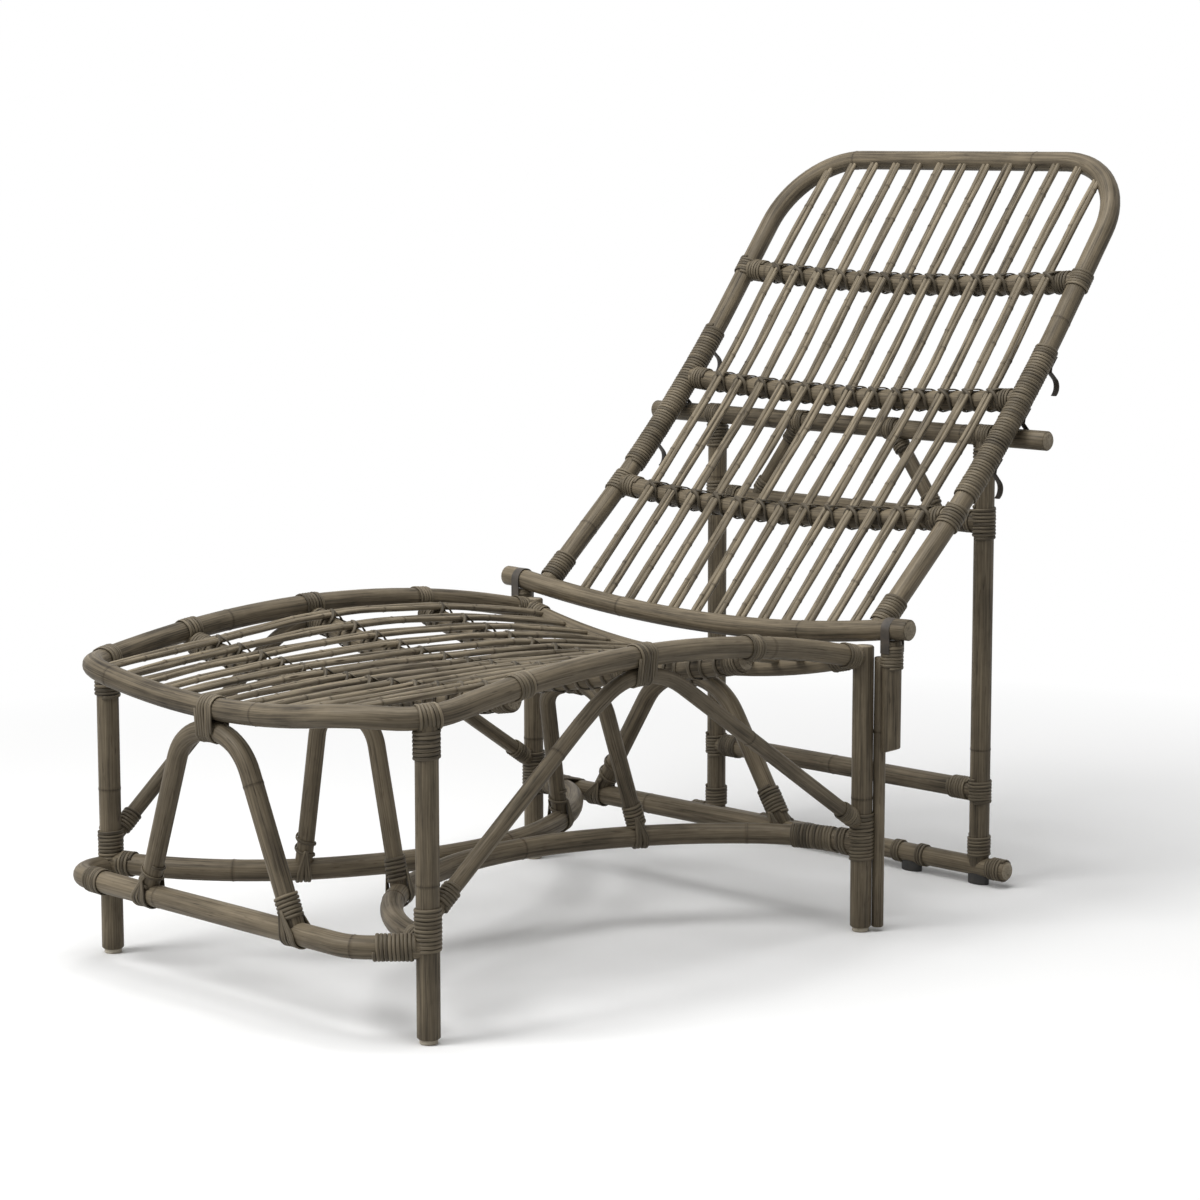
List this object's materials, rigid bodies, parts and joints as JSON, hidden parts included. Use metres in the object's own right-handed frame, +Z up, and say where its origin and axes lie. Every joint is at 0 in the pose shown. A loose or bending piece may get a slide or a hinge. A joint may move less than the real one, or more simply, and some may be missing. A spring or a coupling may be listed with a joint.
{
  "type": "rattan garden chaise longue",
  "caption": "Lounge chair of bent rattan poles with a slatted seat, arched side frames and a tilting slatted backrest held by a swinging trestle in hooks.",
  "frame": {"origin": "on the floor under the middle of the whole chaise", "axes": "+Z up, +Y from the foot end to the head end, +X to the near side of the picture"},
  "size_m": [0.752, 1.4386, 1.0153],
  "materials": {
    "rattan": "weathered grey-brown rattan pole, satin",
    "slat": "weathered thin rattan rods, satin",
    "strand": "split rattan peel, satin",
    "strap": "dark flat strap, matt",
    "hook": "dark flat strip, satin",
    "cream_glide": "cream plastic glide",
    "black_glide": "black glide"
  },
  "bodies": {
    "seat_frame": {"arch_lashings": "strand", "front_arch": "rattan", "front_left_glide": "cream_glide", "front_left_leg": "rattan", "front_right_glide": "cream_glide", "front_right_leg": "rattan", "front_stretcher": "rattan", "inner_front_arch": "rattan", "inner_rear_arch": "rattan", "left_bow_stretcher": "rattan", "left_guide_post": "rattan", "left_hinge_peg": "rattan", "left_hinge_strap": "strap", "left_side_arch": "rattan", "leg_lashings": "strand", "rear_arch": "rattan", "rear_left_glide": "cream_glide", "rear_left_leg": "rattan", "rear_right_glide": "cream_glide", "rear_right_leg": "rattan", "rear_stretcher": "rattan", "right_bow_stretcher": "rattan", "right_guide_post": "rattan", "right_hinge_peg": "rattan", "right_hinge_strap": "strap", "right_side_arch": "rattan", "seat_bar_front": "rattan", "seat_bar_middle": "rattan", "seat_bar_rear": "rattan", "seat_rear_rail": "rattan", "seat_rim": "rattan", "seat_slats": "slat", "stretcher_lashings": "strand"},
    "backrest": {"backrest_bar_low": "rattan", "backrest_bar_middle": "rattan", "backrest_bar_upper": "rattan", "backrest_bottom_rail": "rattan", "backrest_hoop": "rattan", "backrest_slats": "slat", "left_hooks": "hook", "left_lower_wrap": "strand", "left_upper_wrap": "strand", "right_hooks": "hook", "right_lower_wrap": "strand", "right_upper_wrap": "strand"},
    "back_support": {"left_support_brace": "rattan", "left_support_leg": "rattan", "right_support_brace": "rattan", "right_support_leg": "rattan", "runner_glide_1": "black_glide", "runner_glide_2": "black_glide", "runner_glide_3": "black_glide", "runner_glide_4": "black_glide", "support_lashings": "strand", "support_low_bar": "rattan", "support_middle_bar": "rattan", "support_runner": "rattan", "support_top_bar": "rattan"}
  },
  "joints": [
    {"name": "backrest_tilt", "type": "hinge", "parent": "seat_frame", "child": "backrest", "pos_m": [0, 0.14065, 0.404], "axis": [1, 0, 0], "range_deg": [-8, 17]},
    {"name": "support_swing", "type": "hinge", "parent": "backrest", "child": "back_support", "pos_m": [0, 0.45136, 0.62954], "axis": [1, 0, 0], "range_deg": [-20, 35]}
  ]
}
